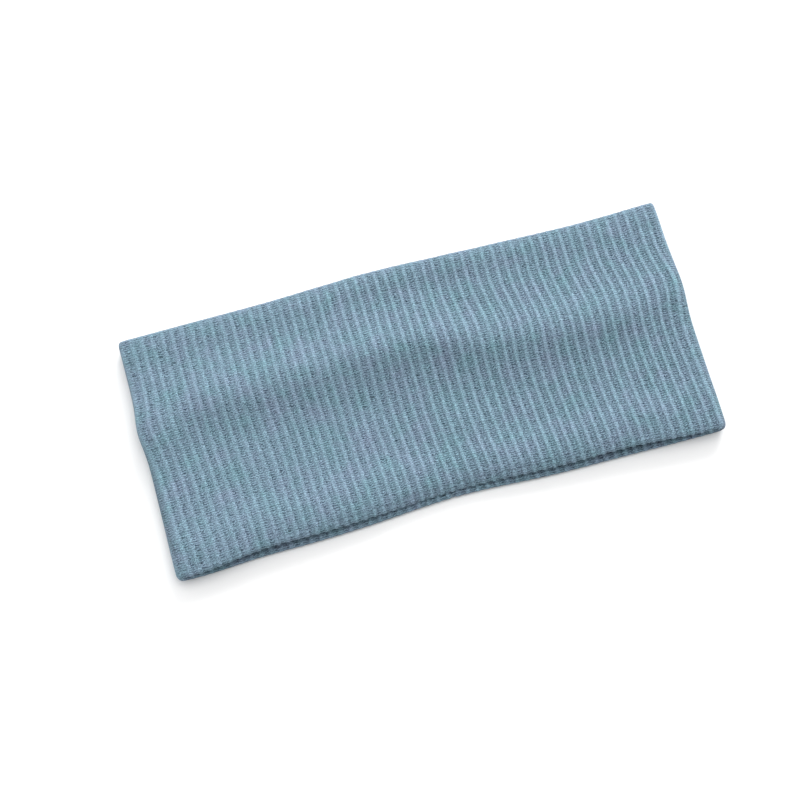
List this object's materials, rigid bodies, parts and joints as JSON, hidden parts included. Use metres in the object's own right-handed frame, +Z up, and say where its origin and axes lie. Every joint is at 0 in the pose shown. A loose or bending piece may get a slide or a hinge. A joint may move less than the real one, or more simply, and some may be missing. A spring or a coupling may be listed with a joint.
{
  "type": "headband",
  "caption": "Wide double-layer rib-knit headband, stored folded flat; opens into a ring that goes round the head.",
  "frame": {"origin": "middle of the flat band's underside, on the plane it lies on", "axes": "+X along the flat band from end fold to end fold, +Y across it towards the far long edge, +Z up"},
  "size_m": [0.235, 0.104, 0.008],
  "materials": {
    "rib_knit": "matte heathered rib knit",
    "seam_thread": "matte spun thread"
  },
  "bodies": {
    "lower_centre_left": {"outer_layer_lower_centre_left": "rib_knit", "inner_layer_lower_centre_left": "rib_knit", "long_seam_allowance_lower_centre_left": "rib_knit", "closing_seam_allowance_left": "rib_knit", "closing_seam_thread": "seam_thread"},
    "lower_left_1": {"outer_layer_lower_left_1": "rib_knit", "inner_layer_lower_left_1": "rib_knit", "long_seam_allowance_lower_left_1": "rib_knit"},
    "lower_left_2": {"outer_layer_lower_left_2": "rib_knit", "inner_layer_lower_left_2": "rib_knit", "long_seam_allowance_lower_left_2": "rib_knit"},
    "lower_left_3": {"outer_layer_lower_left_3": "rib_knit", "inner_layer_lower_left_3": "rib_knit", "long_seam_allowance_lower_left_3": "rib_knit"},
    "lower_left_end": {"outer_layer_lower_left_end": "rib_knit", "inner_layer_lower_left_end": "rib_knit", "long_seam_allowance_lower_left_end": "rib_knit"},
    "upper_left_end": {"outer_layer_upper_left_end": "rib_knit", "inner_layer_upper_left_end": "rib_knit", "long_seam_allowance_upper_left_end": "rib_knit"},
    "upper_left_3": {"outer_layer_upper_left_3": "rib_knit", "inner_layer_upper_left_3": "rib_knit", "long_seam_allowance_upper_left_3": "rib_knit"},
    "upper_left_2": {"outer_layer_upper_left_2": "rib_knit", "inner_layer_upper_left_2": "rib_knit", "long_seam_allowance_upper_left_2": "rib_knit"},
    "upper_left_1": {"outer_layer_upper_left_1": "rib_knit", "inner_layer_upper_left_1": "rib_knit", "long_seam_allowance_upper_left_1": "rib_knit"},
    "upper_centre": {"outer_layer_upper_centre": "rib_knit", "inner_layer_upper_centre": "rib_knit", "long_seam_allowance_upper_centre": "rib_knit"},
    "upper_right_1": {"outer_layer_upper_right_1": "rib_knit", "inner_layer_upper_right_1": "rib_knit", "long_seam_allowance_upper_right_1": "rib_knit"},
    "upper_right_2": {"outer_layer_upper_right_2": "rib_knit", "inner_layer_upper_right_2": "rib_knit", "long_seam_allowance_upper_right_2": "rib_knit"},
    "upper_right_3": {"outer_layer_upper_right_3": "rib_knit", "inner_layer_upper_right_3": "rib_knit", "long_seam_allowance_upper_right_3": "rib_knit"},
    "upper_right_end": {"outer_layer_upper_right_end": "rib_knit", "inner_layer_upper_right_end": "rib_knit", "long_seam_allowance_upper_right_end": "rib_knit"},
    "lower_right_end": {"outer_layer_lower_right_end": "rib_knit", "inner_layer_lower_right_end": "rib_knit", "long_seam_allowance_lower_right_end": "rib_knit"},
    "lower_right_3": {"outer_layer_lower_right_3": "rib_knit", "inner_layer_lower_right_3": "rib_knit", "long_seam_allowance_lower_right_3": "rib_knit"},
    "lower_right_2": {"outer_layer_lower_right_2": "rib_knit", "inner_layer_lower_right_2": "rib_knit", "long_seam_allowance_lower_right_2": "rib_knit"},
    "lower_right_1": {"outer_layer_lower_right_1": "rib_knit", "inner_layer_lower_right_1": "rib_knit", "long_seam_allowance_lower_right_1": "rib_knit"},
    "lower_centre_right": {"outer_layer_lower_centre_right": "rib_knit", "inner_layer_lower_centre_right": "rib_knit", "long_seam_allowance_lower_centre_right": "rib_knit", "closing_seam_allowance_right": "rib_knit"}
  },
  "joints": [
    {"name": "lower_left_bend_1", "type": "hinge", "parent": "lower_centre_left", "child": "lower_left_1", "pos_m": [-0.01306, 0, 0.004], "axis": [0, 1, 0], "range_deg": [0, 20]},
    {"name": "lower_left_bend_2", "type": "hinge", "parent": "lower_left_1", "child": "lower_left_2", "pos_m": [-0.03917, 0, 0.004], "axis": [0, 1, 0], "range_deg": [0, 20]},
    {"name": "lower_left_bend_3", "type": "hinge", "parent": "lower_left_2", "child": "lower_left_3", "pos_m": [-0.06528, 0, 0.004], "axis": [0, 1, 0], "range_deg": [0, 20]},
    {"name": "lower_left_bend_4", "type": "hinge", "parent": "lower_left_3", "child": "lower_left_end", "pos_m": [-0.09139, 0, 0.004], "axis": [0, 1, 0], "range_deg": [0, 20]},
    {"name": "left_end_fold", "type": "hinge", "parent": "lower_left_end", "child": "upper_left_end", "pos_m": [-0.1175, 0, 0.004], "axis": [0, -1, 0], "range_deg": [0, 160]},
    {"name": "upper_left_bend_4", "type": "hinge", "parent": "upper_left_end", "child": "upper_left_3", "pos_m": [-0.09139, 0, 0.004], "axis": [0, 1, 0], "range_deg": [0, 20]},
    {"name": "upper_left_bend_3", "type": "hinge", "parent": "upper_left_3", "child": "upper_left_2", "pos_m": [-0.06528, 0, 0.004], "axis": [0, 1, 0], "range_deg": [0, 20]},
    {"name": "upper_left_bend_2", "type": "hinge", "parent": "upper_left_2", "child": "upper_left_1", "pos_m": [-0.03917, 0, 0.004], "axis": [0, 1, 0], "range_deg": [0, 20]},
    {"name": "upper_left_bend_1", "type": "hinge", "parent": "upper_left_1", "child": "upper_centre", "pos_m": [-0.01306, 0, 0.004], "axis": [0, 1, 0], "range_deg": [0, 20]},
    {"name": "upper_right_bend_1", "type": "hinge", "parent": "upper_centre", "child": "upper_right_1", "pos_m": [0.01306, 0, 0.004], "axis": [0, 1, 0], "range_deg": [0, 20]},
    {"name": "upper_right_bend_2", "type": "hinge", "parent": "upper_right_1", "child": "upper_right_2", "pos_m": [0.03917, 0, 0.004], "axis": [0, 1, 0], "range_deg": [0, 20]},
    {"name": "upper_right_bend_3", "type": "hinge", "parent": "upper_right_2", "child": "upper_right_3", "pos_m": [0.06528, 0, 0.004], "axis": [0, 1, 0], "range_deg": [0, 20]},
    {"name": "upper_right_bend_4", "type": "hinge", "parent": "upper_right_3", "child": "upper_right_end", "pos_m": [0.09139, 0, 0.004], "axis": [0, 1, 0], "range_deg": [0, 20]},
    {"name": "right_end_fold", "type": "hinge", "parent": "upper_right_end", "child": "lower_right_end", "pos_m": [0.1175, 0, 0.004], "axis": [0, -1, 0], "range_deg": [0, 160]},
    {"name": "lower_right_bend_4", "type": "hinge", "parent": "lower_right_end", "child": "lower_right_3", "pos_m": [0.09139, 0, 0.004], "axis": [0, 1, 0], "range_deg": [0, 20]},
    {"name": "lower_right_bend_3", "type": "hinge", "parent": "lower_right_3", "child": "lower_right_2", "pos_m": [0.06528, 0, 0.004], "axis": [0, 1, 0], "range_deg": [0, 20]},
    {"name": "lower_right_bend_2", "type": "hinge", "parent": "lower_right_2", "child": "lower_right_1", "pos_m": [0.03917, 0, 0.004], "axis": [0, 1, 0], "range_deg": [0, 20]},
    {"name": "lower_right_bend_1", "type": "hinge", "parent": "lower_right_1", "child": "lower_centre_right", "pos_m": [0.01306, 0, 0.004], "axis": [0, 1, 0], "range_deg": [0, 20]}
  ],
  "couplings": [
    {"joint": "lower_left_bend_2", "follows": "lower_left_bend_1", "ratio": 1},
    {"joint": "lower_left_bend_3", "follows": "lower_left_bend_1", "ratio": 1},
    {"joint": "lower_left_bend_4", "follows": "lower_left_bend_1", "ratio": 1},
    {"joint": "left_end_fold", "follows": "lower_left_bend_1", "ratio": 8},
    {"joint": "upper_left_bend_4", "follows": "lower_left_bend_1", "ratio": 1},
    {"joint": "upper_left_bend_3", "follows": "lower_left_bend_1", "ratio": 1},
    {"joint": "upper_left_bend_2", "follows": "lower_left_bend_1", "ratio": 1},
    {"joint": "upper_left_bend_1", "follows": "lower_left_bend_1", "ratio": 1},
    {"joint": "upper_right_bend_1", "follows": "lower_left_bend_1", "ratio": 1},
    {"joint": "upper_right_bend_2", "follows": "lower_left_bend_1", "ratio": 1},
    {"joint": "upper_right_bend_3", "follows": "lower_left_bend_1", "ratio": 1},
    {"joint": "upper_right_bend_4", "follows": "lower_left_bend_1", "ratio": 1},
    {"joint": "right_end_fold", "follows": "lower_left_bend_1", "ratio": 8},
    {"joint": "lower_right_bend_4", "follows": "lower_left_bend_1", "ratio": 1},
    {"joint": "lower_right_bend_3", "follows": "lower_left_bend_1", "ratio": 1},
    {"joint": "lower_right_bend_2", "follows": "lower_left_bend_1", "ratio": 1},
    {"joint": "lower_right_bend_1", "follows": "lower_left_bend_1", "ratio": 1}
  ]
}
